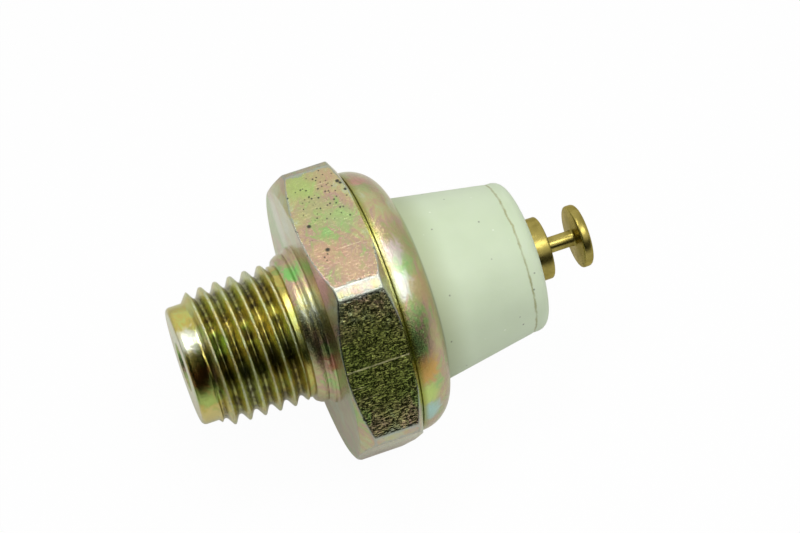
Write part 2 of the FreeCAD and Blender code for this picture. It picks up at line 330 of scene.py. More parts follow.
def sender_body(turned, drawn, rolled):
    """The steel body: thread, hexagon, rolled collar and the rooms inside, in one skin."""
    places = [
        (THREAD_FROM, PILOT_R),
        (STUB_TIP, PILOT_R, 0.45),
        (STUB_TIP, BORE_R + BORE_CHAMFER, 0.05),
        (STUB_TIP + BORE_CHAMFER, BORE_R, 0.05),
        (CHAMBER_FLOOR, BORE_R, 0.1),
        (CHAMBER_FLOOR, CHAMBER_R),
        (CAVITY_FLOOR, CHAMBER_R, 0.08),
        (CAVITY_FLOOR, SEAL_INNER_R, 0.05),
        (SEAL_FLOOR, SEAL_INNER_R),
        (SEAL_FLOOR, SEAL_OUTER_R),
        (CAVITY_FLOOR, SEAL_OUTER_R, 0.05),
        (CAVITY_FLOOR, CAVITY_R),
        (ROLL_FROM, CAVITY_R),
    ]
    places += arc((ROLL_FROM, CAVITY_R), INNER_ROLL_MIDDLE, INNER_ROLL_END, 10)
    places += [(LIP, LIP_R, 0.06)]
    outer_roll = arc((ROLL_FROM, COLLAR_R), OUTER_ROLL_MIDDLE, (LIP, LIP_R + LIP_CHAMFER), 16)
    places += outer_roll[::-1]
    places += [
        (ROLL_FROM, COLLAR_R),
        (LAND_FROM, COLLAR_R, 0.1),
        (LAND_FROM, NECK_R, 0.05),
        (HEX_TO, NECK_R),
    ]
    places += [(WAITING_X, WAITING_R + ring) for ring in reversed(range(HEX_RINGS))]
    places += [
        (HEX_FROM, FLARE_R, 0.18),
        (0.55, FLARE_R - 0.03, 0.12),
        (0.32, RUNOUT_R + 0.03, 0.08),
        (0.15, RUNOUT_R, 0.03),
        (0.12, RUNOUT_R - GROOVE_DEPTH, 0.02),
        (0.02, RUNOUT_R - GROOVE_DEPTH, 0.02),
        (0.0, RUNOUT_R - 0.01, 0.03),
        (-0.42, RUNOUT_R - 0.06, 0.15),
        (-0.9, 7.08, 0.1),
        (THREAD_TO, RELIEF_R),
    ]
    bm = bmesh.new()
    draw_outline(bm, places)
    spin_outline(bm, BODY_COLUMNS)
    shape_hexagon(bm)
    roll_thread(bm)
    bmesh.ops.remove_doubles(bm, verts=bm.verts, dist=0.004)
    bmesh.ops.recalc_face_normals(bm, faces=bm.faces)
    part_finishes(bm)
    return make_piece("sender_body", bm, "housing", ["hex_body"], [turned, drawn, rolled])


def insulator_cover(nylon):
    """The moulded cover, with its rooms inside and the step at the far end of its taper."""
    cap_r = CONE_TIP_R - CAP_STEP
    cap_round_from = CAP_TO - CAP_ROUND
    half = CAP_ROUND * math.sqrt(0.5)
    places = [
        (INSULATOR_FROM, CONTACT_ROOM_R),
        (INSULATOR_FROM, STACK_R, 0.15),
        (ROLL_FROM, STACK_R),
    ]
    places += arc((ROLL_FROM, STACK_R), SHOULDER_ROLL_MIDDLE, SHOULDER_ROLL_END, 10)
    places += [
        (CONE_TO, CONE_TIP_R, 0.03),
        (CONE_TO + 0.02, cap_r - 0.01, 0.01),
        (CONE_TO + 0.09, cap_r),
        (cap_round_from, cap_r),
    ]
    places += arc((cap_round_from, cap_r), (cap_round_from + half, cap_r - CAP_ROUND + half),
                  (CAP_TO, cap_r - CAP_ROUND), 12)
    places += [
        (CAP_TO, SHANK_R),
        (SEAT_TO, SHANK_R),
        (SEAT_TO, SPRING_ROOM_R, 0.2),
        (CONTACT_ROOM_TO, SPRING_ROOM_R),
        (CONTACT_ROOM_TO, CONTACT_ROOM_R, 0.3),
    ]
    bm = bmesh.new()
    draw_outline(bm, places, closed=True)
    spin_outline(bm, COVER_COLUMNS)
    return make_piece("insulator_cover", bm, "housing", ["insulator"], [nylon])


def stud_terminal(brass):
    """The turned stud: rivet, grooved shank, shoulder, pin and button."""
    places = [
        (RIVET_FROM, 0),
        (RIVET_FROM, RIVET_R - RIVET_CHAMFER, 0.1),
        (RIVET_FROM + RIVET_CHAMFER, RIVET_R, 0.1),
        (SPRING_TO, RIVET_R),
        (SPRING_TO, SHANK_R),
    ]
    for i in range(GRIP_COUNT):
        middle = GRIP_FIRST + GRIP_SPACING * i
        start, end = middle - GRIP_HALF_WIDTH, middle + GRIP_HALF_WIDTH
        places += [(start, SHANK_R), (start, GRIP_R), (end, GRIP_R), (end, SHANK_R)]
    places += [
        (CAP_TO, SHANK_R),
        (CAP_TO, TERMINAL_R, 0.06),
        (SHOULDER_TO, TERMINAL_R, 0.2),
        (SHOULDER_TO, PIN_R, 0.22),
        (BUTTON_FROM, PIN_R, 0.22),
        (BUTTON_FROM, TERMINAL_R, 0.2),
        (BUTTON_TO, TERMINAL_R, 0.4),
        (BUTTON_TO, 0),
    ]
    bm = bmesh.new()
    draw_outline(bm, places)
    spin_outline(bm, STUD_COLUMNS)
    return make_piece("stud_terminal", bm, "housing", ["terminal_stud"], [brass])


def diaphragm_rim(cloth):
    """The clamped part of the diaphragm."""
    places = [
        (CAVITY_FLOOR, PLATE_R),
        (DIAPHRAGM_TO, PLATE_R),
        (DIAPHRAGM_TO, STACK_R),
        (CAVITY_FLOOR, STACK_R),
    ]
    bm = bmesh.new()
    draw_outline(bm, places, closed=True)
    spin_outline(bm, CLOTH_COLUMNS)
    return make_piece("diaphragm_rim", bm, "housing", ["diaphragm"], [cloth])


def diaphragm_middle(cloth):
    """The middle that lifts with the plate, with the fold that bridges the gap to the rim then."""
    edge = PLATE_R - 0.02
    places = [
        (DIAPHRAGM_TO, 0),
        (DIAPHRAGM_TO, edge, 0.1),
        (CAVITY_FLOOR - LIFT, edge, 0.1),
        (CAVITY_FLOOR - LIFT, edge - FOLD_WIDTH, 0.1),
        (CAVITY_FLOOR, edge - FOLD_WIDTH, 0.1),
        (CAVITY_FLOOR, 0),
    ]
    bm = bmesh.new()
    draw_outline(bm, places)
    spin_outline(bm, CLOTH_COLUMNS)
    return make_piece("diaphragm_middle", bm, "contact_carrier", ["diaphragm"], [cloth])


def coil_spring(wire):
    """The wound spring with both ends ground flat, built at one length; the real one shortens as the contacts
    lift.
    """
    height = SPRING_TO - SPRING_FROM
    length = height - 2 * (WIRE_R - GROUND)
    turns = length / COIL_PITCH
    steps = round(COIL_STEPS * turns)
    bm = bmesh.new()
    bmesh.ops.create_circle(bm, segments=WIRE_SIDES, radius=WIRE_R)
    bmesh.ops.translate(bm, vec=(SPRING_FROM + WIRE_R - GROUND, COIL_R, 0), verts=bm.verts)
    quarter_turn = Matrix.Rotation(math.radians(-90), 3, "X")
    bmesh.ops.rotate(bm, cent=(0, 0, 0), matrix=quarter_turn, verts=bm.verts)
    bmesh.ops.spin(bm, geom=bm.verts[:] + bm.edges[:], cent=(0, 0, 0), axis=(1, 0, 0),
                   dvec=(length / steps, 0, 0), angle=2 * math.pi * turns, steps=steps, use_merge=False)
    bmesh.ops.holes_fill(bm, edges=[e for e in bm.edges if e.is_boundary])
    for end, way in ((SPRING_FROM, -1), (SPRING_TO, 1)):
        bmesh.ops.bisect_plane(bm, geom=bm.verts[:] + bm.edges[:] + bm.faces[:], plane_co=(end, 0, 0),
                               plane_no=(way, 0, 0), clear_outer=True)
        bmesh.ops.holes_fill(bm, edges=[e for e in bm.edges if e.is_boundary])
    bmesh.ops.remove_doubles(bm, verts=bm.verts, dist=0.0005)
    piece = make_piece("coil_spring", bm, "housing", ["contact_spring"], [wire])
    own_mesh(piece)
    return piece


# Materials, with pattern scales in features a millimetre

def colour(code):
    """Linear colour of an sRGB hex value."""
    parts = [int(code[i:i + 2], 16) / 255 for i in (1, 3, 5)]
    return tuple(p / 12.92 if p <= 0.04045 else ((p + 0.055) / 1.055) ** 2.4 for p in parts) + (1.0,)


def add(tree, kind, sockets=None, **settings):
    """Add a node with its settings; a socket takes a value, or a link from an output."""
    made = tree.nodes.new("ShaderNode" + kind)
    for name, value in settings.items():
        setattr(made, name, value)
    for name, value in (sockets or {}).items():
        if isinstance(value, bpy.types.NodeSocket):
            tree.links.new(value, made.inputs[name])
        else:
            made.inputs[name].default_value = value
    return made


def stops(ramp, *pairs):
    """Set a colour ramp from (position, linear colour) pairs."""
    elements = ramp.color_ramp.elements
    while len(elements) < len(pairs):
        elements.new(1.0)
    for element, (position, value) in zip(elements, pairs):
        element.position = position
        element.color = value


def new_material(name):
    """A material with its shader, and the place on the piece in millimetres."""
    material = bpy.data.materials.new(name)
    material.use_nodes = True
    tree = material.node_tree
    shader = tree.nodes["Principled BSDF"]
    place = add(tree, "TexCoord").outputs["Object"]
    place = add(tree, "VectorMath", {0: place, 1: (1000, 1000, 1000)}, operation="MULTIPLY").outputs[0]
    return material, tree, shader, place


def dress(tree, shader, tint, rough, bump):
    """Link a tint, a roughness and a relief to the shader."""
    tree.links.new(tint, shader.inputs["Base Color"])
    tree.links.new(rough, shader.inputs["Roughness"])
    tree.links.new(bump.outputs["Normal"], shader.inputs["Normal"])


def parts_and_radius(tree, place):
    """The place's three parts, and how far it lies off the thread's axis."""
    parts = add(tree, "SeparateXYZ", {0: place})
    across = add(tree, "CombineXYZ", {1: parts.outputs[1], 2: parts.outputs[2]})
    radius = add(tree, "VectorMath", {0: across.outputs[0]}, operation="LENGTH").outputs["Value"]
    return parts, radius


def lathe_rings(tree, place, parts, radius, rings_per_mm, drift, detail):
    """The tool's feed: rings that follow the turned outline, and change slowly round the axis."""
    along = add(tree, "Math", {0: parts.outputs[0], 1: radius}, operation="SUBTRACT").outputs[0]
    along = add(tree, "Math", {0: along, 1: rings_per_mm}, operation="MULTIPLY").outputs[0]
    rings_at = add(tree, "CombineXYZ", {0: along}).outputs[0]
    slow = add(tree, "VectorMath", {0: place, 1: (0.0, drift, drift)}, operation="MULTIPLY").outputs[0]
    rings_at = add(tree, "VectorMath", {0: rings_at, 1: slow}, operation="ADD").outputs[0]
    rings = add(tree, "TexNoise", {"Vector": rings_at, "Scale": 1.0, "Detail": detail, "Roughness": 0.7})
    return rings.outputs["Fac"]


def tinted_patch(tree, tint, ragged, centre, size, code, share):
    """Turn the tint towards another round one place, with a ragged edge."""
    away = add(tree, "VectorMath", {0: ragged, 1: centre}, operation="DISTANCE").outputs["Value"]
    mask = add(tree, "MapRange", {"Value": away, "From Min": 0.35 * size, "From Max": size,
                                  "To Min": share, "To Max": 0.0}, interpolation_type="SMOOTHSTEP")
    mixed = add(tree, "Mix", {0: mask.outputs["Result"], 6: tint, 7: colour(code)}, data_type="RGBA")
    return mixed.outputs[2]


def chromate_film(tree, place, tints, patches_and_painted_light):
    """Colour of the chromate film: its thickness drifts, and runs down as the part hangs to dry.

    The film drifts over 5 mm and is blotched at 1 mm. A patch is a centre, a radius, a tint and
    the share of it; three of them are painted highlights and one a painted reflection.
    """
    runs = add(tree, "VectorMath", {0: place, 1: (1.0, 0.6, 0.8)}, operation="MULTIPLY").outputs[0]
    drift = add(tree, "TexNoise", {"Vector": runs, "Scale": 0.19, "Detail": 2.0, "Roughness": 0.5})
    blotches = add(tree, "TexNoise", {"Vector": runs, "Scale": 0.95, "Detail": 6.0, "Roughness": 0.72,
                                      "Distortion": 0.9})
    thickness = add(tree, "Math", {0: drift.outputs["Fac"], 1: 1.3, 2: -0.6},
                    operation="MULTIPLY_ADD").outputs[0]
    thickness = add(tree, "Math", {0: blotches.outputs["Fac"], 1: 0.9, 2: thickness},
                    operation="MULTIPLY_ADD").outputs[0]
    ramp = add(tree, "ValToRGB", {"Fac": thickness})
    stops(ramp, *[(position, colour(code)) for position, code in tints])
    shift = add(tree, "VectorMath", {0: blotches.outputs["Color"], 1: (4.0, 4.0, 4.0)},
                operation="MULTIPLY").outputs[0]
    shift = add(tree, "VectorMath", {0: shift, 1: (2.0, 2.0, 2.0)}, operation="SUBTRACT").outputs[0]
    ragged = add(tree, "VectorMath", {0: place, 1: shift}, operation="ADD").outputs[0]
    tint = ramp.outputs["Color"]
    for patch in patches_and_painted_light:
        tint = tinted_patch(tree, tint, ragged, *patch)
    return tint


def chromate_gloss(shader):
    """Zinc under its film: a metal whose glints are a little yellow, with a clear, glossy top."""
    shader.inputs["Metallic"].default_value = 1.0
    shader.inputs["Specular Tint"].default_value = colour("#F0EEDC")
    shader.inputs["Coat Weight"].default_value = 0.4
    shader.inputs["Coat Roughness"].default_value = 0.12


def worn_edges(tree, place, parts, radius):
    """One along the hexagon's sharp edges, and none 0.26 mm in from them."""
    flats = None
    for angle in (30, 90, 150):
        way = (0.0, math.cos(math.radians(angle)), math.sin(math.radians(angle)))
        reach = add(tree, "VectorMath", {0: place, 1: way}, operation="DOT_PRODUCT").outputs["Value"]
        reach = add(tree, "Math", {0: reach}, operation="ABSOLUTE").outputs[0]
        if flats is None:
            flats = reach
        else:
            flats = add(tree, "Math", {0: flats, 1: reach}, operation="MAXIMUM").outputs[0]
    x = parts.outputs[0]
    front = add(tree, "Math", {0: radius, 1: -CHAMFER_SLOPE, 2: FRONT_R * CHAMFER_SLOPE - HEX_FROM},
                operation="MULTIPLY_ADD")
    rear = add(tree, "Math", {0: radius, 1: CHAMFER_SLOPE, 2: -REAR_R * CHAMFER_SLOPE - HEX_TO},
               operation="MULTIPLY_ADD")
    gaps = [
        add(tree, "Math", {0: flats, 1: HALF_FLATS}, operation="SUBTRACT"),
        add(tree, "Math", {0: radius, 1: CORNER_R}, operation="SUBTRACT"),
        add(tree, "Math", {0: front.outputs[0], 1: x}, operation="ADD"),
        add(tree, "Math", {0: rear.outputs[0], 1: x}, operation="ADD"),
    ]
    faces = None
    for gap in gaps:
        gap = add(tree, "Math", {0: gap.outputs[0]}, operation="ABSOLUTE").outputs[0]
        face = add(tree, "MapRange", {"Value": gap, "From Min": 0.03, "From Max": 0.26,
                                      "To Min": 1.0, "To Max": 0.0}).outputs["Result"]
        if faces is None:
            faces = face
        else:
            faces = add(tree, "Math", {0: faces, 1: face}, operation="ADD").outputs[0]
    return add(tree, "Math", {0: faces, 1: 1.0}, operation="SUBTRACT", use_clamp=True).outputs[0]


def bared_edges(tree, place, tint, edges):
    """Bare zinc along worn edges in patches of 0.8 mm, grey beside the film, with a few dark nicks."""
    wear = add(tree, "TexNoise", {"Vector": place, "Scale": 1.3, "Detail": 4.0, "Roughness": 0.7})
    threshold = add(tree, "MapRange", {"Value": wear.outputs["Fac"], "From Min": 0.35, "From Max": 0.65,
                                       "To Min": 0.2, "To Max": 0.9}).outputs["Result"]
    above = add(tree, "Math", {0: edges, 1: threshold}, operation="SUBTRACT").outputs[0]
    bare = add(tree, "MapRange", {"Value": above, "From Min": 0.0, "From Max": 0.2,
                                  "To Max": 0.65}).outputs["Result"]
    tint = add(tree, "Mix", {0: bare, 6: tint, 7: colour("#98A299")}, data_type="RGBA").outputs[2]
    nicks = add(tree, "TexNoise", {"Vector": place, "Scale": 1.1, "Detail": 3.0, "Roughness": 0.8})
    nicked = add(tree, "MapRange", {"Value": nicks.outputs["Fac"], "From Min": 0.62,
                                    "From Max": 0.66}).outputs["Result"]
    inner = add(tree, "MapRange", {"Value": edges, "From Min": 0.25, "From Max": 0.4}).outputs["Result"]
    nicked = add(tree, "Math", {0: nicked, 1: inner}, operation="MULTIPLY").outputs[0]
    return add(tree, "Mix", {0: nicked, 6: tint, 7: colour("#3E443C")}, data_type="RGBA").outputs[2]


# The film's tints from thin to thick, on the hexagon and collar and on the stub
HEX_TINTS = ((0.22, "#BBC1AB"), (0.36, "#B4B57E"), (0.46, "#BAA67E"), (0.53, "#B59586"),
             (0.58, "#ADA87C"), (0.64, "#9FB170"), (0.73, "#90B770"), (0.86, "#A9AF80"))
STUB_TINTS = ((0.22, "#BCC294"), (0.38, "#B7BC64"), (0.50, "#BFAE56"), (0.58, "#B0A656"),
              (0.68, "#9BB058"), (0.82, "#ABBA64"))


def chromated_rolled_steel():
    """Yellow chromated zinc on a rolled thread: crests painted pale as glints and wear, olive flanks, painted
    shade and dirt in the roots, and a painted highlight and reflection on the pilot.
    """
    material, tree, shader, place = new_material("yellow_chromated_zinc_rolled")
    tint = chromate_film(tree, place, STUB_TINTS, [
        # Brown patch low on the pilot's front: painted reflection
        ((-11.0, -4.5, 3.8), 1.6, "#A8552A", 0.8),
        ((-11.0, -5.8, -1.0), 2.2, "#C9B978", 0.7),
        # Pale patch on the pilot's top: painted highlight
        ((-11.3, -1.5, 5.7), 1.9, "#DFE2D2", 0.8),
    ])
    parts, radius = parts_and_radius(tree, place)
    half_taper = 0.5 / THREAD_TAPER
    crest = add(tree, "Math", {0: parts.outputs[0], 1: half_taper, 2: THREAD_END_R - THREAD_TO * half_taper},
                operation="MULTIPLY_ADD").outputs[0]
    depth = add(tree, "Math", {0: crest, 1: radius}, operation="SUBTRACT").outputs[0]
    # The plating's grain of 0.17 mm, which also frays the edges of the pale crests and of the dark roots
    grain = add(tree, "TexNoise", {"Vector": place, "Scale": 6.0, "Detail": 4.0, "Roughness": 0.75})
    torn = add(tree, "Math", {0: grain.outputs["Fac"], 1: 0.5, 2: -0.2}, operation="MULTIPLY_ADD").outputs[0]
    ragged_depth = add(tree, "Math", {0: depth, 1: torn}, operation="SUBTRACT").outputs[0]
    on_thread = add(tree, "Math", {0: parts.outputs[0], 1: LEAD_IN_TO - 0.3},
                    operation="GREATER_THAN").outputs[0]
    # Crests painted pale, in lengths of 0.8 mm: painted glints, and film rubbed off
    bright = add(tree, "MapRange", {"Value": ragged_depth, "From Min": -0.1, "From Max": 0.05,
                                    "To Min": 0.85, "To Max": 0.0}).outputs["Result"]
    bright = add(tree, "Math", {0: bright, 1: on_thread}, operation="MULTIPLY").outputs[0]
    rubbed = add(tree, "TexNoise", {"Vector": place, "Scale": 1.2, "Detail": 3.0, "Roughness": 0.7})
    rubbed = add(tree, "MapRange", {"Value": rubbed.outputs["Fac"], "From Min": 0.38, "From Max": 0.62,
                                    "To Min": 0.35}).outputs["Result"]
    bright = add(tree, "Math", {0: bright, 1: rubbed}, operation="MULTIPLY").outputs[0]
    # Painted shade and dirt in the roots, in lengths of 0.6 mm
    root_shade_and_dirt = add(tree, "MapRange", {"Value": ragged_depth, "From Min": 0.32, "From Max": 0.66,
                                  "To Max": 0.95}).outputs["Result"]
    residue = add(tree, "TexNoise", {"Vector": place, "Scale": 1.6, "Detail": 4.0, "Roughness": 0.7})
    residue = add(tree, "MapRange", {"Value": residue.outputs["Fac"], "From Min": 0.42, "From Max": 0.6,
                                     "To Min": 0.45, "To Max": 1.0}).outputs["Result"]
    root_shade_and_dirt = add(tree, "Math", {0: root_shade_and_dirt, 1: residue}, operation="MULTIPLY").outputs[0]
    root_shade_and_dirt = add(tree, "Math", {0: root_shade_and_dirt, 1: on_thread}, operation="MULTIPLY").outputs[0]
    tint = add(tree, "Mix", {0: bright, 6: tint, 7: colour("#C6CCBE")}, data_type="RGBA").outputs[2]
    tint = add(tree, "Mix", {0: root_shade_and_dirt, 6: tint, 7: colour("#33270F")}, data_type="RGBA").outputs[2]
    rough = add(tree, "MapRange", {"Value": grain.outputs["Fac"], "From Min": 0.3, "From Max": 0.7,
                                   "To Min": 0.12, "To Max": 0.26}).outputs["Result"]
    height = add(tree, "Math", {0: bright, 1: 1.5, 2: 0.5}, operation="MULTIPLY_ADD").outputs[0]
    height = add(tree, "Math", {0: grain.outputs["Fac"], 1: height}, operation="MULTIPLY").outputs[0]
    bump = add(tree, "Bump", {"Height": height, "Strength": 0.5, "Distance": 0.0001})
    chromate_gloss(shader)
    dress(tree, shader, tint, rough, bump)
    return material


def chromated_turned_steel():
    """Yellow chromated zinc on turned steel: fine rings, a film of shifting tints, and painted highlight on
    the collar and the turned corners.
    """
    material, tree, shader, place = new_material("yellow_chromated_zinc_turned")
    tint = chromate_film(tree, place, HEX_TINTS, [
        ((0.0, 1.2, 7.4), 1.5, "#7CC765", 0.9),
        ((1.4, -5.5, 11.9), 2.6, "#D6A4A0", 0.85),
        ((1.3, -6.7, 2.9), 1.6, "#A05A3A", 0.8),
        ((1.0, 8.5, 6.0), 3.5, "#CDD2C2", 0.8),
        ((8.3, 5.7, 11.7), 1.9, "#CB8F86", 0.8),
        ((8.9, 4.4, 12.2), 1.5, "#9BAA6C", 0.8),
        ((9.6, -2.6, 12.0), 2.6, "#A39668", 0.7),
        # The next two patches, pink-white and cyan-white on the collar's lit side, are painted highlight
        ((8.5, -4.2, 12.4), 2.0, "#D0C2C8", 0.55),
        ((8.4, -7.0, 11.1), 2.1, "#CEDCD4", 0.65),
        ((10.2, -7.2, 9.6), 2.4, "#C3A277", 0.7),
        ((8.3, -12.2, 4.2), 2.2, "#CFA24A", 0.85),
        ((8.1, -12.9, 1.2), 1.9, "#B9CE70", 0.85),
        ((7.9, -13.0, -1.6), 2.2, "#9CC8C4", 0.9),
    ])
    parts, radius = parts_and_radius(tree, place)
    tint = bared_edges(tree, place, tint, worn_edges(tree, place, parts, radius))
    # A darker olive in the neck behind the hexagon, fading out by 8.2 mm along the axis
    neck_olive = add(tree, "MapRange", {"Value": parts.outputs[0], "From Min": 7.75, "From Max": 8.2,
                                  "To Min": 0.75, "To Max": 0.0}).outputs["Result"]
    behind = add(tree, "Math", {0: parts.outputs[0], 1: HEX_TO - 0.02}, operation="GREATER_THAN").outputs[0]
    neck_olive = add(tree, "Math", {0: neck_olive, 1: behind}, operation="MULTIPLY").outputs[0]
    tint = add(tree, "Mix", {0: neck_olive, 6: tint, 7: colour("#8A8C30")}, data_type="RGBA").outputs[2]
    # The bar's turned corners are painted pale in patches of 0.9 mm: painted highlight, and film worn thin
    # there
    wear = add(tree, "TexNoise", {"Vector": place, "Scale": 1.1, "Detail": 4.0, "Roughness": 0.75})
    wear = add(tree, "MapRange", {"Value": wear.outputs["Fac"], "From Min": 0.36, "From Max": 0.6,
                                  "To Min": 0.2}).outputs["Result"]
    corner = add(tree, "MapRange", {"Value": radius, "From Min": CORNER_R - 0.12, "From Max": CORNER_R - 0.03,
                                    "To Max": 0.45}).outputs["Result"]
    corner = add(tree, "Math", {0: corner, 1: wear}, operation="MULTIPLY").outputs[0]
    tint = add(tree, "Mix", {0: corner, 6: tint, 7: colour("#B2BAB2")}, data_type="RGBA").outputs[2]
    # A feed of 0.12 mm, drawn at 0.2 mm so that it shows, and the plating's grain of 0.14 mm
    rings = lathe_rings(tree, place, parts, radius, rings_per_mm=5.0, drift=0.12, detail=3.0)
    grain = add(tree, "TexNoise", {"Vector": place, "Scale": 7.0, "Detail": 4.0, "Roughness": 0.75})
    height = add(tree, "Math", {0: rings, 1: 1.0, 2: grain.outputs["Fac"]}, operation="MULTIPLY_ADD")
    bump = add(tree, "Bump", {"Height": height.outputs[0], "Strength": 0.42, "Distance": 0.00008})
    rough = add(tree, "MapRange", {"Value": grain.outputs["Fac"], "From Min": 0.3, "From Max": 0.7,
                                   "To Min": 0.16, "To Max": 0.30}).outputs["Result"]
    chromate_gloss(shader)
    dress(tree, shader, tint, rough, bump)
    return material


def pitted(tree, place, tint, grain):
    """Dark pits of 0.2 to 0.4 mm: most in one group, a few strewn, and five in places of their own."""
    pit = "#2E342C"
    cells = add(tree, "TexVoronoi", {"Vector": place, "Scale": 2.3, "Randomness": 1.0}, feature="F1")
    uneven = add(tree, "Math", {0: grain, 1: 0.35, 2: cells.outputs["Distance"]},
                 operation="MULTIPLY_ADD").outputs[0]
    dots = add(tree, "MapRange", {"Value": uneven, "From Min": 0.335, "From Max": 0.39,
                                  "To Min": 0.95, "To Max": 0.0}).outputs["Result"]
    group_middle = (4.8, 3.6, HALF_FLATS)
    group = add(tree, "VectorMath", {0: place, 1: group_middle}, operation="DISTANCE").outputs["Value"]
    group = add(tree, "MapRange", {"Value": group, "From Min": 2.6, "From Max": 3.2,
                                   "To Min": 1.0, "To Max": 0.0}).outputs["Result"]
    strewn = add(tree, "TexNoise", {"Vector": place, "Scale": 0.4, "Detail": 1.0}).outputs["Fac"]
    strewn = add(tree, "Math", {0: strewn, 1: 0.66}, operation="GREATER_THAN").outputs[0]
    group = add(tree, "Math", {0: group, 1: strewn}, operation="MAXIMUM").outputs[0]
    dots = add(tree, "Math", {0: dots, 1: group}, operation="MULTIPLY").outputs[0]
    tint = add(tree, "Mix", {0: dots, 6: tint, 7: colour(pit)}, data_type="RGBA").outputs[2]
    single = [(2.35, 0.74, 0.3), (3.06, -2.5, 0.32), (6.55, 4.9, 0.28), (6.75, 4.6, 0.24), (6.9, 3.7, 0.2)]
    for x, y, size in single:
        tint = tinted_patch(tree, tint, place, (x, y, HALF_FLATS), size, pit, 0.95)
    return tint


def drawing_scratches(tree, place, height_above_axis, in_front, grain):
    """Scratches along the bar, 6 mm long and 0.2 mm wide, and a long one across the front flat."""
    stretched = add(tree, "VectorMath", {0: place, 1: (0.16, 5.0, 5.0)}, operation="MULTIPLY").outputs[0]
    short = add(tree, "TexNoise", {"Vector": stretched, "Scale": 1.0, "Detail": 2.0, "Roughness": 0.6})
    short = add(tree, "MapRange", {"Value": short.outputs["Fac"], "From Min": 0.68, "From Max": 0.74,
                                   "To Max": 0.6}).outputs["Result"]
    away = add(tree, "Math", {0: height_above_axis, 1: 6.79}, operation="SUBTRACT").outputs[0]
    away = add(tree, "Math", {0: away}, operation="ABSOLUTE").outputs[0]
    long = add(tree, "MapRange", {"Value": away, "From Min": 0.02, "From Max": 0.09,
                                  "To Min": 0.8, "To Max": 0.0}).outputs["Result"]
    long = add(tree, "Math", {0: long, 1: in_front}, operation="MULTIPLY").outputs[0]
    long = add(tree, "Math", {0: long, 1: grain}, operation="MULTIPLY").outputs[0]
    long = add(tree, "Math", {0: long, 1: 1.8}, operation="MULTIPLY", use_clamp=True).outputs[0]
    return add(tree, "Math", {0: short, 1: long}, operation="MAXIMUM").outputs[0]


def chromated_drawn_steel():
    """Yellow chromated zinc on cold drawn bar: a coarse skin, scratches along the bar and pits."""
    material, tree, shader, place = new_material("yellow_chromated_zinc_drawn")
    tint = chromate_film(tree, place, HEX_TINTS, [
        ((3.2, 5.6, 13.5), 2.8, "#A4BE6C", 0.75),
        ((5.4, 5.9, 13.5), 1.9, "#BC9C80", 0.5),
        ((3.6, 2.2, 13.5), 2.4, "#A8B474", 0.6),
        ((5.6, 0.6, 13.5), 2.2, "#98BE74", 0.65),
        ((3.0, -2.8, 13.5), 2.2, "#C8A184", 0.7),
        ((4.6, -5.4, 13.5), 2.4, "#C9A98A", 0.7),
        ((4.2, -11.7, 6.7), 8.0, "#8A9446", 0.9),
    ])
    parts, radius = parts_and_radius(tree, place)
    tint = bared_edges(tree, place, tint, worn_edges(tree, place, parts, radius))
    # The drawn skin: streaks of 0.2 by 0.55 mm along the bar, and a grain of 0.28 mm
    streaks_at = add(tree, "VectorMath", {0: place, 1: (1.8, 5.0, 5.0)}, operation="MULTIPLY").outputs[0]
    streaks = add(tree, "TexNoise", {"Vector": streaks_at, "Scale": 1.0, "Detail": 1.0, "Roughness": 0.5})
    grain = add(tree, "TexNoise", {"Vector": place, "Scale": 3.6, "Detail": 2.0, "Roughness": 0.6})
    grain = grain.outputs["Fac"]
    height = add(tree, "Math", {0: streaks.outputs["Fac"], 1: 1.5, 2: grain},
                 operation="MULTIPLY_ADD").outputs[0]
    # The two flats in front came rougher from the die
    in_front = add(tree, "Math", {0: parts.outputs[1], 1: FRONT_FLATS_Y}, operation="LESS_THAN").outputs[0]
    skin = add(tree, "MapRange", {"Value": in_front, "To Min": 0.24, "To Max": 1.2}).outputs["Result"]
    height = add(tree, "Math", {0: height, 1: skin}, operation="MULTIPLY").outputs[0]
    bump = add(tree, "Bump", {"Height": height, "Strength": 0.55, "Distance": 0.0001})
    tint = pitted(tree, place, tint, grain)
    scratches = drawing_scratches(tree, place, parts.outputs[2], in_front, grain)
    tint = add(tree, "Mix", {0: scratches, 6: tint, 7: colour("#D6CFA6")}, data_type="RGBA").outputs[2]
    rough = add(tree, "MapRange", {"Value": grain, "From Min": 0.3, "From Max": 0.7,
                                   "To Min": 0.14, "To Max": 0.32}).outputs["Result"]
    rough = add(tree, "Mix", {0: scratches, 2: rough, 3: 0.7}).outputs[0]
    chromate_gloss(shader)
    dress(tree, shader, tint, rough, bump)
    return material


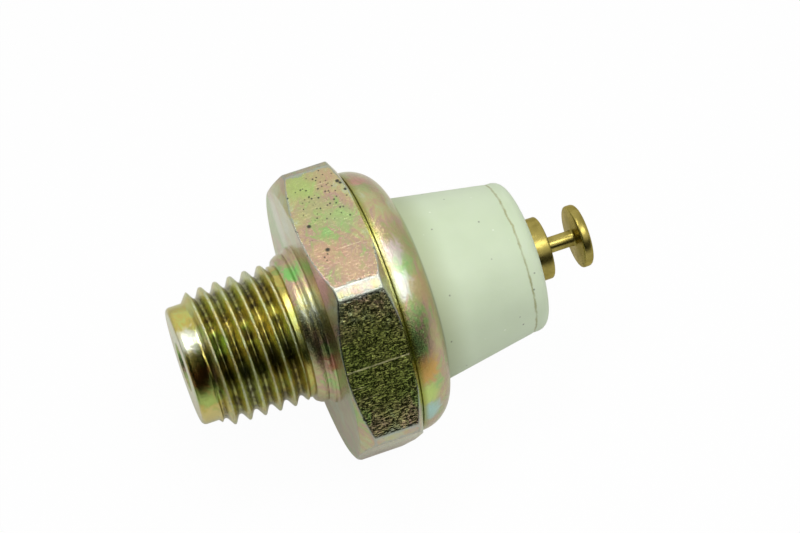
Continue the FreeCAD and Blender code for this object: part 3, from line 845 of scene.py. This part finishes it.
def moulded_nylon():
    """Natural nylon, injection moulded: milky, faintly green, with a satin skin."""
    material, tree, shader, place = new_material("moulded_natural_nylon")
    # Clouds of 8 mm in the melt
    cloud = add(tree, "TexNoise", {"Vector": place, "Scale": 0.12, "Detail": 3.0, "Roughness": 0.5})
    ramp = add(tree, "ValToRGB", {"Fac": cloud.outputs["Fac"]})
    stops(ramp, (0.3, colour("#C9D8B8")), (0.7, colour("#D6E4C6")))
    tint = ramp.outputs["Color"]
    parts = add(tree, "SeparateXYZ", {0: place})
    # Painted shade on the nylon next to the collar's roll, fading over 3.2 mm, and the joint itself is dark
    painted_shade_by_collar = add(tree, "MapRange", {"Value": parts.outputs[0], "From Min": LIP, "From Max": LIP + 3.2,
                                    "To Min": 0.75, "To Max": 0.0}, interpolation_type="SMOOTHSTEP")
    tint = add(tree, "Mix", {0: painted_shade_by_collar.outputs["Result"], 6: tint, 7: colour("#A9B48E")},
               data_type="RGBA").outputs[2]
    joint = add(tree, "MapRange", {"Value": parts.outputs[0], "From Min": LIP + 0.06, "From Max": LIP + 0.24,
                                   "To Min": 0.8, "To Max": 0.0}).outputs["Result"]
    tint = add(tree, "Mix", {0: joint, 6: tint, 7: colour("#565D44")}, data_type="RGBA").outputs[2]
    # A ragged witness line where the two halves of the mould meet, 0.3 mm wide
    ragged = add(tree, "TexNoise", {"Vector": place, "Scale": 0.9, "Detail": 4.0, "Roughness": 0.7})
    wander = add(tree, "Math", {0: ragged.outputs["Fac"], 1: 0.5, 2: -CONE_TO - 0.32},
                 operation="MULTIPLY_ADD").outputs[0]
    from_line = add(tree, "Math", {0: parts.outputs[0], 1: wander}, operation="ADD").outputs[0]
    from_line = add(tree, "Math", {0: from_line}, operation="ABSOLUTE").outputs[0]
    line = add(tree, "MapRange", {"Value": from_line, "From Min": 0.05, "From Max": 0.15,
                                  "To Min": 0.85, "To Max": 0.0}).outputs["Result"]
    worn = add(tree, "TexNoise", {"Vector": place, "Scale": 0.7, "Detail": 2.0})
    worn = add(tree, "MapRange", {"Value": worn.outputs["Fac"], "From Min": 0.35, "From Max": 0.5,
                                  "To Min": 0.4}).outputs["Result"]
    line = add(tree, "Math", {0: line, 1: worn}, operation="MULTIPLY").outputs[0]
    tint = add(tree, "Mix", {0: line, 6: tint, 7: colour("#A6A878")}, data_type="RGBA").outputs[2]
    # Specks of 0.1 to 0.3 mm, some dark and some light
    cells = add(tree, "TexVoronoi", {"Vector": place, "Scale": 0.62, "Randomness": 1.0}, feature="F1")
    speck = add(tree, "MapRange", {"Value": cells.outputs["Distance"], "From Min": 0.04, "From Max": 0.08,
                                   "To Min": 0.7, "To Max": 0.0}).outputs["Result"]
    kind = add(tree, "SeparateColor", {0: cells.outputs["Color"]}).outputs[0]
    kind = add(tree, "Math", {0: kind, 1: 0.55}, operation="GREATER_THAN").outputs[0]
    kind = add(tree, "Mix", {0: kind, 6: colour("#5A5E50"), 7: colour("#EEF6E4")},
               data_type="RGBA").outputs[2]
    tint = add(tree, "Mix", {0: speck, 6: tint, 7: kind}, data_type="RGBA").outputs[2]
    # The mould's skin, grained at 0.4 mm
    skin = add(tree, "TexNoise", {"Vector": place, "Scale": 2.5, "Detail": 3.0})
    bump = add(tree, "Bump", {"Height": skin.outputs["Fac"], "Strength": 0.12, "Distance": 0.0001})
    shader.inputs["Roughness"].default_value = 0.55
    shader.inputs["IOR"].default_value = 1.53
    shader.inputs["Subsurface Weight"].default_value = 0.25
    shader.inputs["Subsurface Radius"].default_value = (0.9, 1.0, 0.7)
    shader.inputs["Subsurface Scale"].default_value = 0.0012
    tree.links.new(tint, shader.inputs["Base Color"])
    tree.links.new(bump.outputs["Normal"], shader.inputs["Normal"])
    return material


def turned_brass():
    """Free-cutting brass off the lathe: fine rings, slightly dulled to brown."""
    material, tree, shader, place = new_material("turned_free_cutting_brass")
    parts, radius = parts_and_radius(tree, place)
    # A feed of 0.07 mm, drawn at 0.14 mm so that it shows
    rings = lathe_rings(tree, place, parts, radius, rings_per_mm=7.0, drift=0.2, detail=2.0)
    bump = add(tree, "Bump", {"Height": rings, "Strength": 0.12, "Distance": 0.00005})
    # Tarnish in patches of 1.4 mm
    tarnish = add(tree, "TexNoise", {"Vector": place, "Scale": 0.7, "Detail": 4.0, "Roughness": 0.6})
    ramp = add(tree, "ValToRGB", {"Fac": tarnish.outputs["Fac"]})
    stops(ramp, (0.35, colour("#877B3E")), (0.65, colour("#A49652")))
    rough = add(tree, "MapRange", {"Value": tarnish.outputs["Fac"], "From Min": 0.3, "From Max": 0.7,
                                   "To Min": 0.34, "To Max": 0.24}).outputs["Result"]
    shader.inputs["Metallic"].default_value = 1.0
    shader.inputs["Specular Tint"].default_value = colour("#F0E6C4")
    dress(tree, shader, ramp.outputs["Color"], rough, bump)
    return material


def grained(name, low, high, metallic, roughness, grain_per_mm, strength, stretch=(1, 1, 1)):
    """A plain finish for an inner piece: two tones in patches of 2 mm, and a grain of a real size."""
    material, tree, shader, place = new_material(name)
    placed = add(tree, "VectorMath", {0: place, 1: stretch}, operation="MULTIPLY").outputs[0]
    grain = add(tree, "TexNoise", {"Vector": placed, "Scale": grain_per_mm, "Detail": 3.0, "Roughness": 0.6})
    tone = add(tree, "TexNoise", {"Vector": place, "Scale": 0.5, "Detail": 2.0})
    ramp = add(tree, "ValToRGB", {"Fac": tone.outputs["Fac"]})
    stops(ramp, (0.35, colour(low)), (0.65, colour(high)))
    bump = add(tree, "Bump", {"Height": grain.outputs["Fac"], "Strength": strength, "Distance": 0.00008})
    rough = add(tree, "MapRange", {"Value": grain.outputs["Fac"], "From Min": 0.3, "From Max": 0.7,
                                   "To Min": roughness - 0.06, "To Max": roughness + 0.08})
    shader.inputs["Metallic"].default_value = metallic
    dress(tree, shader, ramp.outputs["Color"], rough.outputs["Result"], bump)
    return material


def finish_node(node, material):
    """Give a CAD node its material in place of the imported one."""
    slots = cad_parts[node].data.materials
    slots.clear()
    slots.append(material)


# Making

sender_body(chromated_turned_steel(), chromated_drawn_steel(), chromated_rolled_steel())
insulator_cover(moulded_nylon())
stud_terminal(turned_brass())
diaphragm_cloth = grained("rubberised_diaphragm_cloth", "#5A3A24", "#6C4930", metallic=0.0, roughness=0.6,
                          grain_per_mm=3.5, strength=0.4, stretch=(1, 2, 2))
diaphragm_rim(diaphragm_cloth)
diaphragm_middle(diaphragm_cloth)
spring_wire = grained("drawn_spring_wire", "#8C8C8C", "#A3A3A2", metallic=1.0, roughness=0.3,
                      grain_per_mm=10.0, strength=0.2)
coil_spring(spring_wire)

sheet_steel = grained("pressed_bright_sheet_steel", "#A9A9A6", "#BDBDBA", metallic=1.0, roughness=0.28,
                      grain_per_mm=4.0, strength=0.2)
sheet_brass = grained("pressed_sheet_brass", "#B08C48", "#C6A25A", metallic=1.0, roughness=0.26,
                      grain_per_mm=4.0, strength=0.2)
silver = grained("coined_silver", "#CFCDC8", "#DEDCD7", metallic=1.0, roughness=0.2,
                 grain_per_mm=6.0, strength=0.1)
nitrile = grained("moulded_nitrile_rubber", "#1A1A1A", "#242423", metallic=0.0, roughness=0.55,
                  grain_per_mm=6.0, strength=0.3)
phenolic = grained("moulded_phenolic", "#5A1F16", "#6E2B1E", metallic=0.0, roughness=0.45,
                   grain_per_mm=8.0, strength=0.2)
fibre_sheet = grained("compressed_fibre_sheet", "#4E524A", "#5F6359", metallic=0.0, roughness=0.8,
                      grain_per_mm=3.0, strength=0.6)
finish_node("seal_ring", nitrile)
finish_node("diaphragm_plate", sheet_steel)
finish_node("plunger", phenolic)
finish_node("contact_cup", sheet_steel)
finish_node("fixed_contacts", silver)
finish_node("moving_contacts", silver)
finish_node("contact_disc", sheet_brass)
finish_node("spring_seat", sheet_brass)
finish_node("cover_gasket", fibre_sheet)


# Floor, light and camera, in metres and watts

def seen_as_white(tree):
    """How much a ray sees the ground as plain white: the camera fully, a reflection in part."""
    rays = add(tree, "LightPath")
    either = add(tree, "Math", {0: rays.outputs["Is Camera Ray"], 1: rays.outputs["Is Transmission Ray"]},
                 operation="MAXIMUM")
    return add(tree, "Math", {0: rays.outputs["Is Glossy Ray"], 1: 0.28, 2: either.outputs[0]},
               operation="MULTIPLY_ADD", use_clamp=True).outputs[0]


def white_floor():
    """White card that the sender lies on, which keeps a little of the sender's shadow."""
    bm = bmesh.new()
    bmesh.ops.create_grid(bm, x_segments=1, y_segments=1, size=1.5)
    bmesh.ops.translate(bm, vec=(0, 0, -HALF_FLATS / 1000), verts=bm.verts)
    mesh = bpy.data.meshes.new("white_card")
    bm.to_mesh(mesh)
    bm.free()
    floor = bpy.data.objects.new("white_card", mesh)
    bpy.context.scene.collection.objects.link(floor)
    material = bpy.data.materials.new("matt_white_card")
    material.use_nodes = True
    tree = material.node_tree
    shader = tree.nodes["Principled BSDF"]
    shader.inputs["Base Color"].default_value = colour("#F4F4F4")
    shader.inputs["Roughness"].default_value = 0.9
    glow = add(tree, "Emission", {"Color": (1, 1, 1, 1), "Strength": 1.0})
    share = add(tree, "Math", {0: seen_as_white(tree), 1: 0.97}, operation="MULTIPLY")
    blend = add(tree, "MixShader", {0: share.outputs[0], 1: shader.outputs[0], 2: glow.outputs[0]})
    tree.links.new(blend.outputs[0], tree.nodes["Material Output"].inputs["Surface"])
    mesh.materials.append(material)


def dark_card(name, width, height, elevation, azimuth, centre, code):
    """A dark card facing the sender that only reflections see."""
    bm = bmesh.new()
    bmesh.ops.create_grid(bm, x_segments=1, y_segments=1, size=0.5)
    bmesh.ops.scale(bm, vec=(width, height, 1), verts=bm.verts)
    lean = Matrix.Rotation(math.radians(90 - elevation), 3, "X")
    turn = Matrix.Rotation(math.radians(azimuth), 3, "Z")
    bmesh.ops.rotate(bm, cent=(0, 0, 0), matrix=turn @ lean, verts=bm.verts)
    bmesh.ops.translate(bm, vec=centre, verts=bm.verts)
    mesh = bpy.data.meshes.new(name)
    bm.to_mesh(mesh)
    bm.free()
    card = bpy.data.objects.new(name, mesh)
    bpy.context.scene.collection.objects.link(card)
    material = bpy.data.materials.new("matt_" + name)
    material.use_nodes = True
    tree = material.node_tree
    dull = add(tree, "Emission", {"Color": colour(code), "Strength": 1.0})
    tree.links.new(dull.outputs[0], tree.nodes["Material Output"].inputs["Surface"])
    mesh.materials.append(material)
    card.visible_camera = False
    card.visible_diffuse = False
    card.visible_shadow = False
    card.visible_transmission = False


def soft_lamp(name, towards, distance, width, height, power):
    """An area lamp in the given direction from the sender's middle, facing it."""
    sender_middle = Vector((0.008, 0, 0))
    lamp = bpy.data.lights.new(name, "AREA")
    lamp.shape = "RECTANGLE"
    lamp.size = width
    lamp.size_y = height
    lamp.energy = power
    holder = bpy.data.objects.new(name, lamp)
    way = Vector(towards).normalized()
    holder.location = sender_middle + way * distance
    holder.rotation_euler = way.to_track_quat("Z", "X").to_euler()
    bpy.context.scene.collection.objects.link(holder)


def surround():
    """Plain white surroundings, dimmer as a lamp than as a picture."""
    world = bpy.data.worlds.new("white_surround")
    world.use_nodes = True
    tree = world.node_tree
    back = tree.nodes["Background"]
    back.inputs["Color"].default_value = (1, 1, 1, 1)
    rays = add(tree, "LightPath")
    seen = add(tree, "Math", {0: rays.outputs["Is Camera Ray"], 1: rays.outputs["Is Glossy Ray"]},
               operation="MAXIMUM")
    seen = add(tree, "Math", {0: seen.outputs[0], 1: rays.outputs["Is Transmission Ray"]},
               operation="MAXIMUM")
    strength = add(tree, "MapRange", {"Value": seen.outputs[0], "To Min": 0.33, "To Max": 1.0})
    tree.links.new(strength.outputs["Result"], back.inputs["Strength"])
    bpy.context.scene.world = world


def camera():
    """Camera at the photograph's viewing angle, held a little askew."""
    place = Vector((-0.02622, -0.13620, 0.18445))
    aim = Vector((0.01122, 0.00328, 0))
    roll = Matrix.Rotation(math.radians(-6.39), 4, "Z")
    lens = bpy.data.cameras.new("camera")
    lens.sensor_width = 36
    lens.lens = 108
    lens.clip_start = 0.01
    eye = bpy.data.objects.new("camera", lens)
    look = (aim - place).to_track_quat("-Z", "Y").to_matrix().to_4x4()
    eye.location = place
    eye.rotation_euler = (look @ roll).to_euler()
    bpy.context.scene.collection.objects.link(eye)
    bpy.context.scene.camera = eye


white_floor()
dark_card("black_card", width=0.60, height=0.056, elevation=0, azimuth=0,
          centre=(0.01, -0.075, 0.0145), code="#1C2012")
dark_card("dark_side_of_the_room", width=0.42, height=0.26, elevation=39, azimuth=0,
          centre=(-0.172, -0.1865, 0.151), code="#141810")
dark_card("dark_end_of_the_room", width=0.22, height=0.12, elevation=0, azimuth=90,
          centre=(-0.12, -0.10, 0.0465), code="#12160E")
dark_card("dark_shade_over_the_stub", width=0.06, height=0.052, elevation=90, azimuth=0,
          centre=(-0.0285, -0.0345, 0.036), code="#1A200E")
dark_card("dark_patch_in_front_of_the_tip", width=0.04, height=0.05, elevation=90, azimuth=0,
          centre=(-0.052, 0.0, -0.0132), code="#16180C")
soft_lamp("key", towards=(0.18, -0.42, 0.89), distance=0.35, width=0.11, height=0.24, power=0.47)
soft_lamp("stub_light", towards=(-0.06, 0.125, 0.99), distance=0.128, width=0.030, height=0.060, power=0.055)
surround()
camera()
bpy.context.scene.view_settings.view_transform = "Standard"
